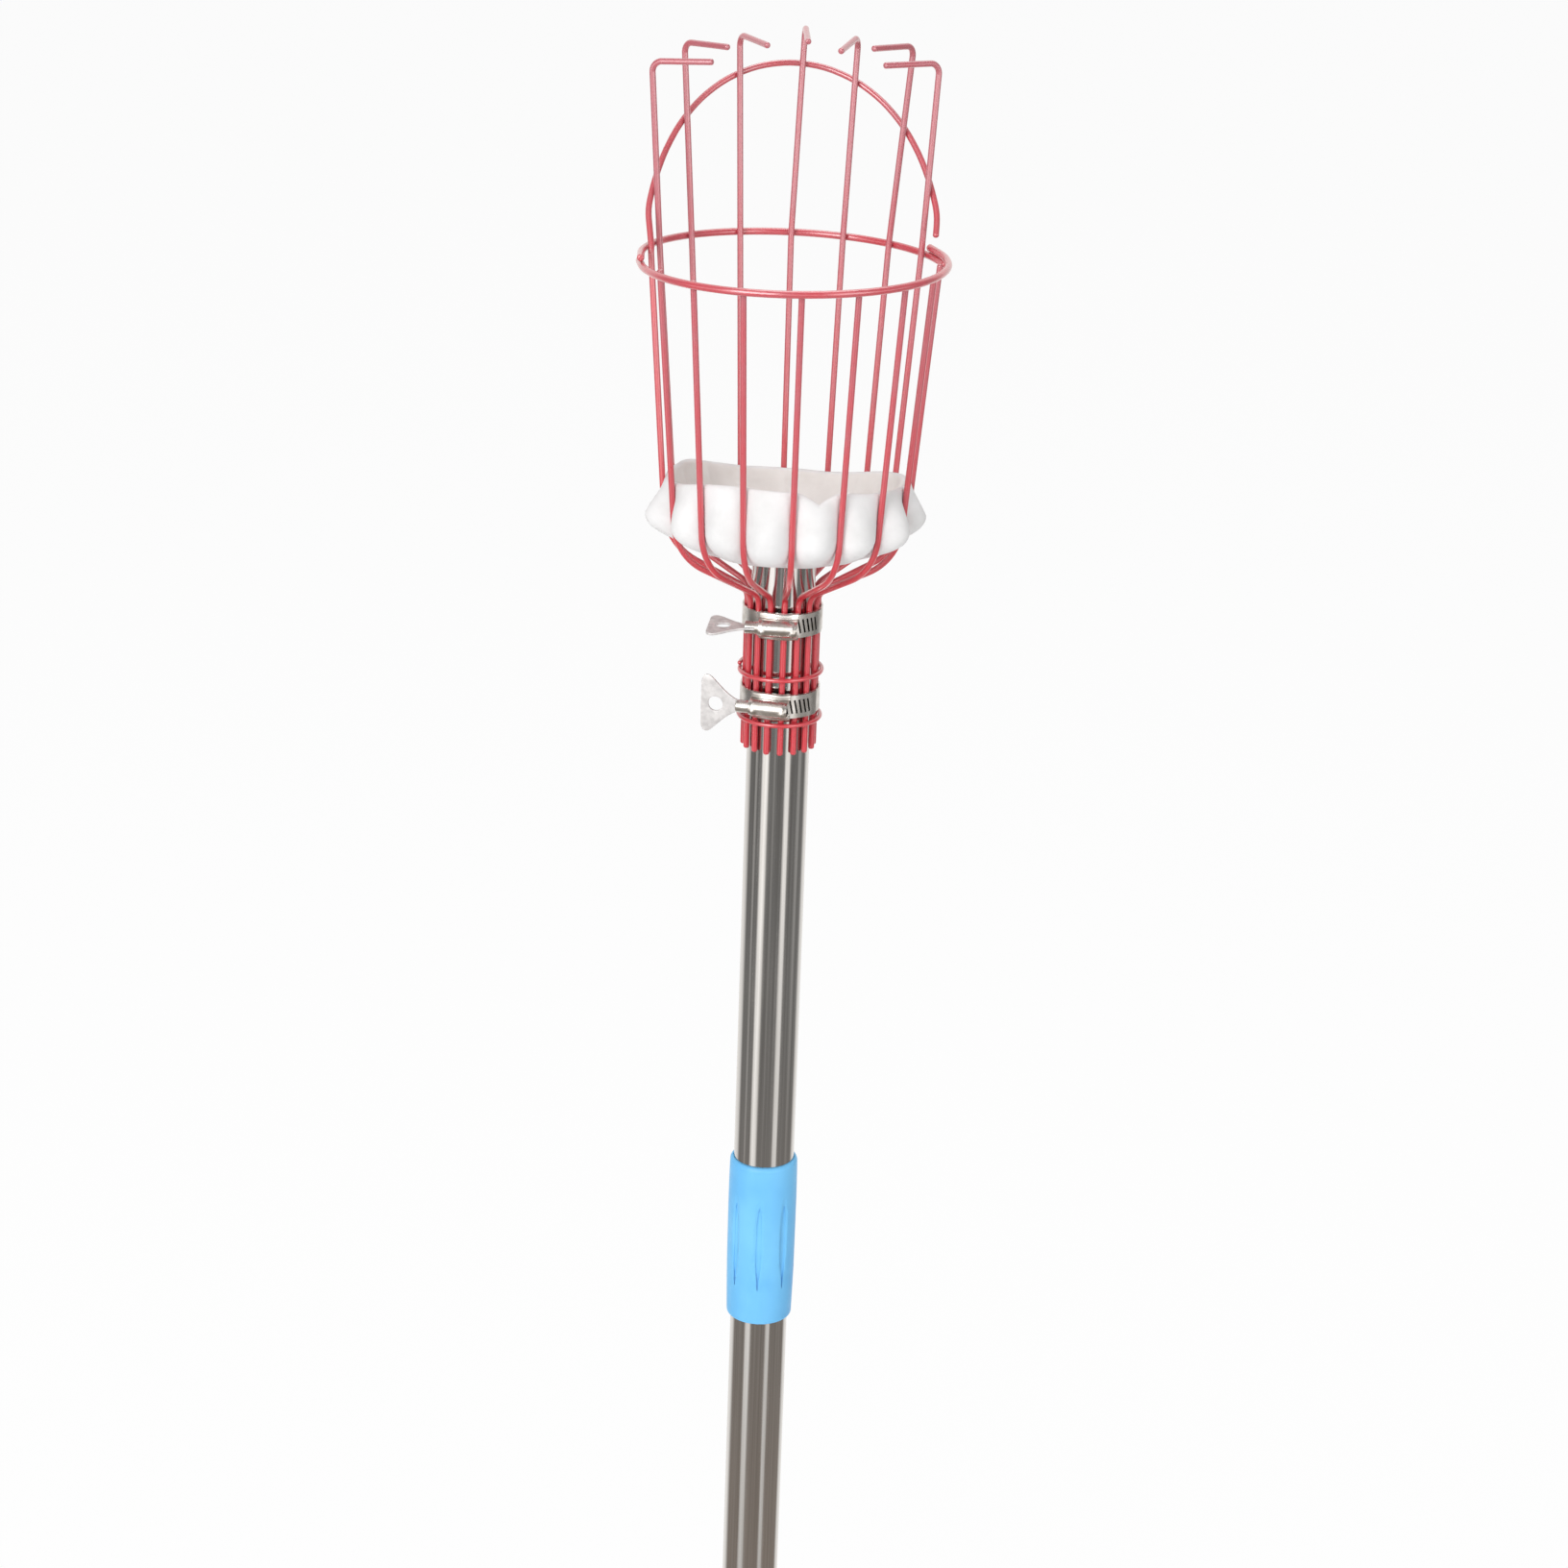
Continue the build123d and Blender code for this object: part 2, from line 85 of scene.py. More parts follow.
def dippedRedCoat(name, sheenTo):  # dip coat on steel wire: satin, slightly rippled, with painted white sheen that makes it paler at the fingers
    coat = wireCoat
    material, tree, shader, place = newMaterial(name)
    height = addNode(tree, "SeparateXYZ", {"Vector": place})
    # painted sheen: the red pales with height, standing in for a white reflection, with random mottle added
    paintedSheen = addNode(tree, "MapRange", {"Value": height.outputs["Z"], "From Min": coat["sheenFrom"] * mm,
                                      "From Max": sheenTo * mm})
    spread = addNode(tree, "TexNoise", {"Vector": place, "Scale": 1 / (coat["mottle"] * mm), "Detail": 3})
    share = addNode(tree, "MapRange", {"Value": spread.outputs["Fac"], "To Min": -coat["mottleShare"],
                                       "To Max": coat["mottleShare"]})
    sheenAndMottle = addNode(tree, "Math", {0: paintedSheen.outputs["Result"], 1: share.outputs["Result"]}, operation="ADD")
    ripple = addNode(tree, "TexNoise", {"Vector": place, "Scale": 1 / (coat["peel"] * mm), "Detail": 2})
    tint = addNode(tree, "ValToRGB", {"Fac": sheenAndMottle.outputs["Value"]})
    for stop, (position, colour) in zip(tint.color_ramp.elements, coat["tints"]):
        stop.position, stop.color = position, hexColour(colour)
    rough = addNode(tree, "MapRange", {"Value": ripple.outputs["Fac"], "To Min": 0.24, "To Max": 0.36})
    bump = addNode(tree, "Bump", {"Height": ripple.outputs["Fac"], "Strength": 0.15, "Distance": 0.1 * mm})
    setInputs(tree, shader, {"Base Color": tint.outputs["Color"], "Roughness": rough.outputs["Result"],
                             "Normal": bump.outputs["Normal"], "IOR": 1.6,
                             "Coat Weight": 1.0, "Coat IOR": 1.7, "Coat Roughness": 0.22})
    return material


poleSteel = {
    "tints": ((0.3, "#c2c0bd"), (0.65, "#d9d8d6")),  # dull and bright draw lines
    "line": 0.9, "run": 160,  # mm, their width and length, coarser than real so that they show
    "smudge": 30,  # mm
}


def polishedStainless():  # drawn and polished stainless tube: mirror bands, fine lines along it
    steel = poleSteel
    material, tree, shader, place = newMaterial("polishedStainless")
    across, along = 1 / (steel["line"] * mm), 1 / (steel["run"] * mm)
    stretch = addNode(tree, "Mapping", {"Vector": place, "Scale": (across, across, along)})
    lines = addNode(tree, "TexNoise", {"Vector": stretch.outputs["Vector"], "Scale": 1, "Detail": 4,
                                       "Roughness": 0.6})
    smudges = addNode(tree, "TexNoise", {"Vector": place, "Scale": 1 / (steel["smudge"] * mm), "Detail": 4})
    both = addNode(tree, "Math", {0: lines.outputs["Fac"], 1: smudges.outputs["Fac"]}, operation="MULTIPLY")
    tint = addNode(tree, "ValToRGB", {"Fac": lines.outputs["Fac"]})
    for stop, (position, colour) in zip(tint.color_ramp.elements, steel["tints"]):
        stop.position, stop.color = position, hexColour(colour)
    rough = addNode(tree, "MapRange", {"Value": both.outputs["Value"], "From Min": 0.12, "From Max": 0.4,
                                       "To Min": 0.07, "To Max": 0.18})
    bump = addNode(tree, "Bump", {"Height": lines.outputs["Fac"], "Strength": 0.12, "Distance": 0.05 * mm})
    setInputs(tree, shader, {"Base Color": tint.outputs["Color"], "Roughness": rough.outputs["Result"],
                             "Normal": bump.outputs["Normal"], "Metallic": 1.0})
    return material


clampSteel = {
    "tints": ((0.34, "#c0bbb4"), (0.6, "#e2dfdb")),  # scuffed and bright
    "scuff": 5, "grain": 0.7,  # mm
    "slot": "#3b3735", "slotFrom": 17.76, "slotTo": 18.3,  # mm off the pole's axis, between the band's layers; painted shade, with some grease, in the slots and along the tail's edges and ends
}


def pressedStainless(name, slotted):  # bright rolled strip, pressed: smooth with small scuffs, with painted shade in its slots
    steel = clampSteel
    material, tree, shader, place = newMaterial(name)
    scuffs = addNode(tree, "TexNoise", {"Vector": place, "Scale": 1 / (steel["scuff"] * mm), "Detail": 6})
    grain = addNode(tree, "TexNoise", {"Vector": place, "Scale": 1 / (steel["grain"] * mm), "Detail": 2})
    tint = addNode(tree, "ValToRGB", {"Fac": scuffs.outputs["Fac"]})
    for stop, (position, colour) in zip(tint.color_ramp.elements, steel["tints"]):
        stop.position, stop.color = position, hexColour(colour)
    rough = addNode(tree, "MapRange", {"Value": scuffs.outputs["Fac"], "To Min": 0.36, "To Max": 0.2})
    bump = addNode(tree, "Bump", {"Height": grain.outputs["Fac"], "Strength": 0.08, "Distance": 0.05 * mm})
    shown = tint.outputs["Color"]
    if slotted:
        # painted shade: darkens the band's slots and its tail's edges and ends, with some grease
        middle, half = (steel["slotFrom"] + steel["slotTo"]) / 2, (steel["slotTo"] - steel["slotFrom"]) / 2
        flat = addNode(tree, "VectorMath", {0: place, 1: (1, 1, 0)}, operation="MULTIPLY")
        out = addNode(tree, "VectorMath", {0: flat.outputs["Vector"]}, operation="LENGTH")
        inside = addNode(tree, "Math", {0: out.outputs["Value"], 1: middle * mm, 2: half * mm},
                         operation="COMPARE")
        slotShaded = addNode(tree, "MixRGB", {0: inside.outputs["Value"], 1: shown, 2: hexColour(steel["slot"])})
        shown = slotShaded.outputs["Color"]
    setInputs(tree, shader, {"Base Color": shown, "Roughness": rough.outputs["Result"],
                             "Normal": bump.outputs["Normal"], "Metallic": 1.0})
    return material


keyZinc = {"tints": ((0.35, "#c3c0bf"), (0.62, "#dbd8d7")), "spangle": 3, "pit": 0.8}  # the last two in mm


def satinZinc():  # tumbled zinc plate: pale, matt, cloudy
    zinc = keyZinc
    material, tree, shader, place = newMaterial("satinZinc")
    clouds = addNode(tree, "TexNoise", {"Vector": place, "Scale": 1 / (zinc["spangle"] * mm), "Detail": 5})
    pits = addNode(tree, "TexNoise", {"Vector": place, "Scale": 1 / (zinc["pit"] * mm), "Detail": 3})
    tint = addNode(tree, "ValToRGB", {"Fac": clouds.outputs["Fac"]})
    for stop, (position, colour) in zip(tint.color_ramp.elements, zinc["tints"]):
        stop.position, stop.color = position, hexColour(colour)
    rough = addNode(tree, "MapRange", {"Value": clouds.outputs["Fac"], "To Min": 0.55, "To Max": 0.36})
    bump = addNode(tree, "Bump", {"Height": pits.outputs["Fac"], "Strength": 0.2, "Distance": 0.08 * mm})
    setInputs(tree, shader, {"Base Color": tint.outputs["Color"], "Roughness": rough.outputs["Result"],
                             "Normal": bump.outputs["Normal"], "Metallic": 0.3})
    return material


sleevePlastic = {"tints": ((0.3, "#67b8ef"), (0.7, "#76c5f5")), "cloud": 22, "grain": 0.9}  # the last two in mm


def mouldedBluePlastic():  # polypropylene, spark-eroded mould: satin, faintly grained
    plastic = sleevePlastic
    material, tree, shader, place = newMaterial("mouldedBluePlastic")
    clouds = addNode(tree, "TexNoise", {"Vector": place, "Scale": 1 / (plastic["cloud"] * mm), "Detail": 2})
    grain = addNode(tree, "TexNoise", {"Vector": place, "Scale": 1 / (plastic["grain"] * mm), "Detail": 2})
    tint = addNode(tree, "ValToRGB", {"Fac": clouds.outputs["Fac"]})
    for stop, (position, colour) in zip(tint.color_ramp.elements, plastic["tints"]):
        stop.position, stop.color = position, hexColour(colour)
    rough = addNode(tree, "MapRange", {"Value": grain.outputs["Fac"], "To Min": 0.38, "To Max": 0.52})
    bump = addNode(tree, "Bump", {"Height": grain.outputs["Fac"], "Strength": 0.1, "Distance": 0.06 * mm})
    setInputs(tree, shader, {"Base Color": tint.outputs["Color"], "Roughness": rough.outputs["Result"],
                             "Normal": bump.outputs["Normal"], "IOR": 1.49})
    return material


bedFoam = {
    "outside": ((0.25, "#d8d7d6"), (0.6, "#e6e5e5")),
    "inside": ((0.25, "#dcd8d4"), (0.6, "#e8e5e2")),  # the inner wall's, a little warmer than the outside
    "cloud": 16, "cell": 1.2,  # mm
}


def openCellFoam(face):  # white polyurethane foam: chalky, with fine cells
    foam = bedFoam
    material, tree, shader, place = newMaterial("openCellFoam_" + face)
    clouds = addNode(tree, "TexNoise", {"Vector": place, "Scale": 1 / (foam["cloud"] * mm), "Detail": 3})
    cells = addNode(tree, "TexVoronoi", {"Vector": place, "Scale": 1 / (foam["cell"] * mm)})
    tint = addNode(tree, "ValToRGB", {"Fac": clouds.outputs["Fac"]})
    for stop, (position, colour) in zip(tint.color_ramp.elements, foam[face]):
        stop.position, stop.color = position, hexColour(colour)
    bump = addNode(tree, "Bump", {"Height": cells.outputs["Distance"], "Strength": 0.25, "Distance": 0.2 * mm})
    setInputs(tree, shader, {"Base Color": tint.outputs["Color"], "Normal": bump.outputs["Normal"],
                             "Roughness": 0.95, "Specular IOR Level": 0.2})
    return material


capPlastic = {"tints": ((0, "#1d1d1f"), (1, "#2b2b2d")), "grain": 1.0}  # grain in mm


def mouldedBlackPlastic():  # black nylon with a fine moulded grain
    plastic = capPlastic
    material, tree, shader, place = newMaterial("mouldedBlackPlastic")
    grain = addNode(tree, "TexNoise", {"Vector": place, "Scale": 1 / (plastic["grain"] * mm), "Detail": 3})
    tint = addNode(tree, "ValToRGB", {"Fac": grain.outputs["Fac"]})
    for stop, (position, colour) in zip(tint.color_ramp.elements, plastic["tints"]):
        stop.position, stop.color = position, hexColour(colour)
    bump = addNode(tree, "Bump", {"Height": grain.outputs["Fac"], "Strength": 0.15, "Distance": 0.1 * mm})
    setInputs(tree, shader, {"Base Color": tint.outputs["Color"], "Normal": bump.outputs["Normal"],
                             "Roughness": 0.5})
    return material


redCoat = dippedRedCoat("dippedRedCoat", wireCoat["sheenTo"])
hoopCoat = dippedRedCoat("dippedHoopCoat", wireCoat["hoopSheenTo"])
tubeSteel = polishedStainless()
stripSteel = pressedStainless("pressedStainless", False)
bandSteel = pressedStainless("slottedStainless", True)
zincPlate = satinZinc()
bluePlastic = mouldedBluePlastic()
whiteFoam = openCellFoam("outside")
innerFoam = openCellFoam("inside")
blackPlastic = mouldedBlackPlastic()
finishes = {"red_coating": redCoat, "pole_steel": tubeSteel, "clamp_steel": stripSteel,
            "blue_plastic": bluePlastic, "white_foam": whiteFoam, "black_plastic": blackPlastic}
ownFinishes = {"front_hoop": hoopCoat, "back_hoop": hoopCoat, "arch_wire": hoopCoat,
               "upper_clamp_band": bandSteel, "lower_clamp_band": bandSteel}
for part in frame["record"]["subparts"]:
    piece = nodes[part["node"]]
    piece.data.materials.clear()
    piece.data.materials.append(ownFinishes.get(part["node"], finishes[part["material_slot"]]))
print("materials set")


basketSide = {  # mm, the wires' middle line: straight from the floor's corner to the ring, bent below
    "floorRadius": 52, "floorHeight": 677.9, "ringRadius": 62, "ringHeight": 803.1,
    "bend": 28, "bendRadius": 25.3, "bendHeight": 695.3, "bendTop": 693,
    "wireRadius": 1.35,
    "turns": (0, 24.9, 45.5, 67, 88.5, 109.8, 133.4, 156.3,
              180, 202.5, 225, 247.5, 270, 292.5, 315, 337.5),  # degrees, each wire's direction
    "archWire": 8, "archLean": -12,  # its place among them; degrees from the floor's corner to the ring
}


def wireTurns(level):  # directions of the wires at a height above the foot
    side = basketSide
    turns = list(side["turns"])
    rise = (level - side["floorHeight"]) / (side["ringHeight"] - side["floorHeight"])
    turns[side["archWire"]] += side["archLean"] * max(0, rise)
    return turns


def wireLine(level):  # the wires' distance from the pole's axis at a height above the foot
    side = basketSide
    if level < side["bendTop"]:
        return side["bendRadius"] + math.sqrt(side["bend"] ** 2 - (level - side["bendHeight"]) ** 2)
    lean = (side["ringRadius"] - side["floorRadius"]) / (side["ringHeight"] - side["floorHeight"])
    return side["floorRadius"] + lean * (level - side["floorHeight"])


foamBed = {  # mm, heights above its bottom
    "bottom": 678.8,  # above the foot, on the pole's top
    "floorRadius": 36, "thickness": 6.5, "rimThickness": 3.4,
    "rimFront": 36.8, "rimBack": 21.5,
    "rimLifts": ((22, 42, 1.7), (62, 38, -1.9), (150, 47, 3.8), (238, 35, 2.3)),  # degrees, half width, height
    "rimRipples": ((3, 0.6, 0.4), (5, 2.1, 0.3)),  # number round the rim, phase, height
    "notch": (-78, 11, 4.6), "notchShape": 1.4,  # degrees, half width, depth of the dip in the front rim
    "turnUp": 15,  # over which the floor turns up into the side
    "wireGap": 0.3,
    "swell": 7.0, "swellShape": 0.8, "crownShape": 1.2, "swellRim": 0.08,  # between the wires, fading to the rim
    "plump": (0.3, 2.3, 1),  # how the bulges differ: share, step from one to the next, phase
    "innerSwell": 0.25,  # share of the swelling at the foot of the inner side
    "corners": (191.25, -11.25), "cornerWidth": 11,  # degrees, where the sheet's corners poke out
    "cornerReach": (3.2, 4.4), "cornerHeights": (4, 16.5, 34),  # start, tip and end of a corner
    "wobble": 0.4, "wobbleSize": 17, "wobbleSeed": 7,
    "floorRows": 8, "sideRows": 26, "rowSpread": 1.5, "rimRows": 5, "columns": 384,  # rows lie closer at the floor
}


def apart(first, second):  # degrees between two directions
    return abs((first - second + 180) % 360 - 180)


def foamRim(degrees, cut):  # its height, with the notch cut or not
    bed = foamBed
    a = math.radians(degrees)
    height = (bed["rimFront"] + bed["rimBack"]) / 2 - (bed["rimFront"] - bed["rimBack"]) / 2 * math.sin(a)
    for turn, wide, lift in bed["rimLifts"]:
        height += lift * (1 + math.cos(math.pi * min(1, apart(degrees, turn) / wide))) / 2
    for count, phase, high in bed["rimRipples"]:
        height += high * math.sin(count * a + phase)
    turn, wide, deep = bed["notch"]
    return height - cut * deep * max(0, 1 - apart(degrees, turn) / wide) ** bed["notchShape"]


def foamSide(degrees, up, top, swell):  # radius of the outside; the inside takes a smaller share of the swelling
    bed = foamBed
    line = wireLine(bed["bottom"] + up) - basketSide["wireRadius"] - bed["wireGap"]
    bend = math.sqrt(1 - (1 - min(1, up / bed["turnUp"])) ** 2)
    radius = bed["floorRadius"] + (line - bed["floorRadius"]) * bend
    turns = wireTurns(bed["bottom"] + up)
    gap = sum(turn <= degrees for turn in turns) - 1
    across = (degrees - turns[gap]) / ((turns + [360])[gap + 1] - turns[gap])
    share, step, phase = bed["plump"]
    plump = 1 + share * math.sin(step * gap + phase)
    climb = min(1, up / top)
    crown = max(0, math.sin(math.pi * climb ** bed["swellShape"])) ** bed["crownShape"] + bed["swellRim"] * climb
    radius += swell * bed["swell"] * plump * crown * math.sin(math.pi * across)
    low, middle, high = bed["cornerHeights"]
    peak = min((up - low) / (middle - low), (high - up) / (high - middle))
    for corner, reach in zip(bed["corners"], bed["cornerReach"]):
        off = apart(degrees, corner) / bed["cornerWidth"]
        radius += swell * reach * max(0, peak) * max(0, 1 - off ** 2)
    return radius


def foamSection(degrees):  # (radius, height) from the floor's middle up the outside, over the rim and down inside
    bed = foamBed
    half = bed["rimThickness"] / 2
    top = foamRim(degrees, 1) - half
    whole = foamRim(degrees, 0) - half
    floor = [(bed["floorRadius"] * row / bed["floorRows"], 0) for row in range(1, bed["floorRows"])]
    climbs = [(row / bed["sideRows"]) ** bed["rowSpread"] for row in range(bed["sideRows"] + 1)]
    outside = [(foamSide(degrees, top * climb, whole, 1), top * climb) for climb in climbs]
    inside = []
    for climb in climbs:
        up = bed["thickness"] + (top - bed["thickness"]) * climb
        wall = bed["thickness"] + (bed["rimThickness"] - bed["thickness"]) * climb ** 2
        share = bed["innerSwell"] + (1 - bed["innerSwell"]) * climb ** 4
        inside.append((foamSide(degrees, top * climb, whole, share) - wall, up))
    rim = []
    middle = outside[-1][0] - half
    for row in range(1, bed["rimRows"]):
        a = math.pi * row / bed["rimRows"]
        rim.append((middle + half * math.cos(a), top + half * math.sin(a)))
    innerFloor = [(inside[0][0] * radius / bed["floorRadius"], bed["thickness"]) for radius, _ in floor]
    return floor + outside + rim + inside[::-1] + innerFloor[::-1]


def foamBedPiece():
    bed = foamBed
    noise.seed_set(bed["wobbleSeed"])  # the clock seeds it otherwise, and no two runs agree
    mesh = bpy.data.meshes.new("foamBed")
    shape = bmesh.new()
    columns = []
    for column in range(bed["columns"]):
        degrees = column * 360 / bed["columns"]
        a = math.radians(degrees)
        points = []
        for radius, up in foamSection(degrees):
            place = Vector((radius * math.cos(a), radius * math.sin(a), bed["bottom"] + up))
            if up > 0:  # the floor stays flat on the pole
                place += bed["wobble"] * noise.noise_vector(place / bed["wobbleSize"])
            points.append(shape.verts.new(place * mm))
        columns.append(points)
    rows = len(columns[0])
    rimRow = bed["floorRows"] + bed["sideRows"] + bed["rimRows"] // 2
    for here, after in zip(columns, columns[1:] + columns[:1]):
        for row in range(rows - 1):
            face = shape.faces.new((here[row], after[row], after[row + 1], here[row + 1]))
            face.material_index = 1 if row > rimRow else 0
    for row in (0, rows - 1):
        ring = [points[row] for points in columns]
        hub = shape.verts.new(sum((point.co for point in ring), Vector()) / len(ring))
        for here, after in zip(ring, ring[1:] + ring[:1]):
            face = shape.faces.new((hub, here, after))
            face.material_index = 1 if row else 0
    bmesh.ops.recalc_face_normals(shape, faces=shape.faces)
    shape.to_mesh(mesh)
    shape.free()
    piece = bpy.data.objects.new("foamBed", mesh)
    scene.collection.objects.link(piece)
    for face in mesh.polygons:
        face.use_smooth = True
    mesh.materials.append(whiteFoam)
    mesh.materials.append(innerFoam)
    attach(piece, "basket_head")
    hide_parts("foam_pad")


foamBedPiece()
print("foam bed made")


clampSeats = {  # mm above the foot, degrees about the pole, degrees of the key about its screw
    "upper": (646.5, -8, -90),
    "lower": (609.5, -16, 0),
}
wormLine = -21.5  # mm, the screw's line in front of the pole's
near = 0.01  # mm, within which a point counts as on a line


def startPiece():
    bpy.ops.object.select_all(action="DESELECT")


def selectOnly(piece):
    startPiece()
    piece.select_set(True)
    bpy.context.view_layer.objects.active = piece


def pick(piece, test):  # picks points in edit mode by their place in mm
    mesh = bmesh.from_edit_mesh(piece.data)
    for point in mesh.verts:
        point.select = test(point.co / mm)
    mesh.select_flush_mode()
    bmesh.update_edit_mesh(piece.data)


def applyModifier(piece, kind, **settings):
    modifier = piece.modifiers.new(kind.lower(), kind)
    for name, value in settings.items():
        setattr(modifier, name, value)
    bpy.context.view_layer.objects.active = piece
    bpy.ops.object.modifier_apply(modifier=modifier.name)


def seatPiece(piece, matrix):  # puts it in its place, then leaves the object at the origin
    piece.matrix_world = matrix
    selectOnly(piece)
    bpy.ops.object.transform_apply(location=True, rotation=True, scale=True)


def dressPiece(piece, material, body, node):
    piece.data.materials.clear()
    piece.data.materials.append(material)
    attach(piece, body)
    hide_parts(node)


def clampMatrix(place):
    height, turn, _ = clampSeats[place]
    return Matrix.Translation((0, 0, height * mm)) @ Matrix.Rotation(math.radians(turn), 4, "Z")


thumbKey = {  # mm
    "start": -30.4, "thickness": 1.0,
    "halfHeights": ((0, 9.6), (0.35, 11.2), (1, 12.4), (2, 13), (3.2, 13), (4.6, 12.2), (6.5, 10.4),
                    (8.5, 8.4), (10.5, 6.5), (12.5, 4.9), (14.3, 3.7), (15.6, 3), (16.6, 2.7),
                    (20.3, 2.7)),  # along the plate, from its broad end
    "acrossFaces": 8,
    "hole": 6.5, "holeDiameter": 6.6, "holeFaces": 40, "drillLength": 10,
    "edge": 0.3, "edgeFaces": 2, "edgeFrom": 50, "smoothTo": 40,  # the last two in degrees
}


def thumbKeyPiece(place):  # fishtail plate, cut, drilled and tumbled
    key = thumbKey
    stations = key["halfHeights"]
    faces = len(stations) - 1
    startPiece()
    bpy.ops.mesh.primitive_grid_add(x_subdivisions=faces, y_subdivisions=key["acrossFaces"], size=2 * mm)
    piece = bpy.context.object
    piece.name = place + "Key"
    bpy.ops.object.mode_set(mode="EDIT")
    for number, (along, half) in reversed(list(enumerate(stations))):
        column = -1 + 2 * number / faces
        pick(piece, lambda point, column=column: abs(point.x - column) < near and abs(point.y) < 1 + near)
        bpy.ops.transform.resize(value=(1, half, 1), center_override=(0, 0, 0))
        bpy.ops.transform.translate(value=((key["start"] + along - column) * mm, 0, 0))
    bpy.ops.object.mode_set(mode="OBJECT")
    applyModifier(piece, "SOLIDIFY", thickness=key["thickness"] * mm, offset=0)
    startPiece()
    bpy.ops.mesh.primitive_cylinder_add(vertices=key["holeFaces"], radius=key["holeDiameter"] / 2 * mm,
                                        depth=key["drillLength"] * mm,
                                        location=((key["start"] + key["hole"]) * mm, 0, 0))
    drill = bpy.context.object
    applyModifier(piece, "BOOLEAN", operation="DIFFERENCE", object=drill)
    bpy.data.objects.remove(drill)
    applyModifier(piece, "BEVEL", width=key["edge"] * mm, segments=key["edgeFaces"], limit_method="ANGLE",
                  angle_limit=math.radians(key["edgeFrom"]))
    selectOnly(piece)
    bpy.ops.object.shade_smooth_by_angle(angle=math.radians(key["smoothTo"]))
    upright = Matrix.Rotation(math.radians(90 + clampSeats[place][2]), 4, "X")
    seatPiece(piece, clampMatrix(place) @ Matrix.Translation((0, wormLine * mm, 0)) @ upright)
    dressPiece(piece, zincPlate, place + "_thumbscrew", place + "_clamp_key")


wormHousing = {  # mm
    "flange": ((-17.7, 5.8), (-18.5, 5.85), (-18.95, 5.65), (-19.1, 5.2), (-19.15, 4.6), (-19.15, 4.0),
               (-19.3, 3.55), (-19.7, 3.3)),  # the sheet's middle from the upper lip to the barrel, across and up
    "barrel": 3.45, "barrelFrom": -20, "barrelFaces": 14,  # radius; degrees back from its top
    "length": 17.4, "columns": 22, "sheet": 0.7, "bandRadius": 18.4, "subdivisions": 2,
    "lift": 100,  # lifts a finished row clear of the next
    "neck": 0.3, "neckFrom": 7.4, "neckBack": 1,  # the barrel's drawn-in ends
    "dimples": ((-6.5, -1.7), (6.5, -1.7)), "dimpleSize": 1.15, "dimple": 0.45,  # along and up, on the barrel
}


def housingSection():
    house = wormHousing
    arc = []
    for number in range(house["barrelFaces"] + 1):
        a = math.radians(house["barrelFrom"] + (180 - 2 * house["barrelFrom"]) * number / house["barrelFaces"])
        arc.append((wormLine - house["barrel"] * math.sin(a), house["barrel"] * math.cos(a)))
    low = [(across, -up) for across, up in reversed(house["flange"])]
    return list(house["flange"]) + arc + low


def wormHousingPiece(place):  # one pressed sheet: saddle round the band, lips over its edges, barrel for the worm
    house = wormHousing
    section = housingSection()
    faces = len(section) - 1
    startPiece()
    bpy.ops.mesh.primitive_grid_add(x_subdivisions=house["columns"], y_subdivisions=faces, size=2 * mm)
    piece = bpy.context.object
    piece.name = place + "Housing"
    bpy.ops.object.mode_set(mode="EDIT")
    for number, (across, up) in enumerate(section):
        row = 1 - 2 * number / faces
        pick(piece, lambda point, row=row: abs(point.y - row) < near and abs(point.z) < near)
        bpy.ops.transform.translate(value=(0, (across - row) * mm, (up + house["lift"]) * mm))
    bpy.ops.mesh.select_all(action="SELECT")
    bpy.ops.transform.translate(value=(0, 0, -house["lift"] * mm))
    bpy.ops.transform.resize(value=(house["length"] / 2, 1, 1), center_override=(0, 0, 0))
    flangeFront = house["flange"][-1][0]
    for column in range(house["columns"] + 1):
        along = house["length"] * (column / house["columns"] - 0.5)
        sag = house["bandRadius"] - math.sqrt(house["bandRadius"] ** 2 - along ** 2)
        pick(piece, lambda point, along=along: abs(point.x - along) < near and point.y > flangeFront - near)
        bpy.ops.transform.translate(value=(0, sag * mm, 0))
    pick(piece, lambda point: abs(point.x) > house["neckFrom"] and point.y < wormLine + house["neckBack"])
    shrink = 1 - house["neck"] / house["barrel"]
    bpy.ops.transform.resize(value=(1, shrink, shrink), center_override=(0, wormLine * mm, 0))
    for along, up in house["dimples"]:
        pick(piece, lambda point, along=along, up=up: point.y < wormLine
             and (point.x - along) ** 2 + (point.z - up) ** 2 < house["dimpleSize"] ** 2)
        bpy.ops.transform.translate(value=(0, -house["dimple"] * mm, 0))
    bpy.ops.object.mode_set(mode="OBJECT")
    applyModifier(piece, "SOLIDIFY", thickness=house["sheet"] * mm, offset=0)
    applyModifier(piece, "SUBSURF", levels=house["subdivisions"], render_levels=house["subdivisions"])
    selectOnly(piece)
    bpy.ops.object.mode_set(mode="EDIT")
    bpy.ops.mesh.select_all(action="SELECT")
    bpy.ops.mesh.normals_make_consistent(inside=False)
    bpy.ops.object.mode_set(mode="OBJECT")
    bpy.ops.object.shade_smooth()
    seatPiece(piece, clampMatrix(place))
    dressPiece(piece, stripSteel, "basket_head", place + "_clamp_housing")


for place in clampSeats:
    thumbKeyPiece(place)
    wormHousingPiece(place)
print("clamps made")


sleeveGrooves = {  # mm and degrees
    "count": 8, "turn": -97, "middle": 339.5, "length": 50, "width": 2.6, "deep": 0.6, "radius": 15.35,
    "segments": 24, "rings": 32, "smoothTo": 30,
    "top": 382.8, "rim": 14.6, "rimDrop": (0.6, 1.4), "rimRound": 0.9, "rimFaces": 4,  # the rim slopes outwards
    "weld": 0.001,
}


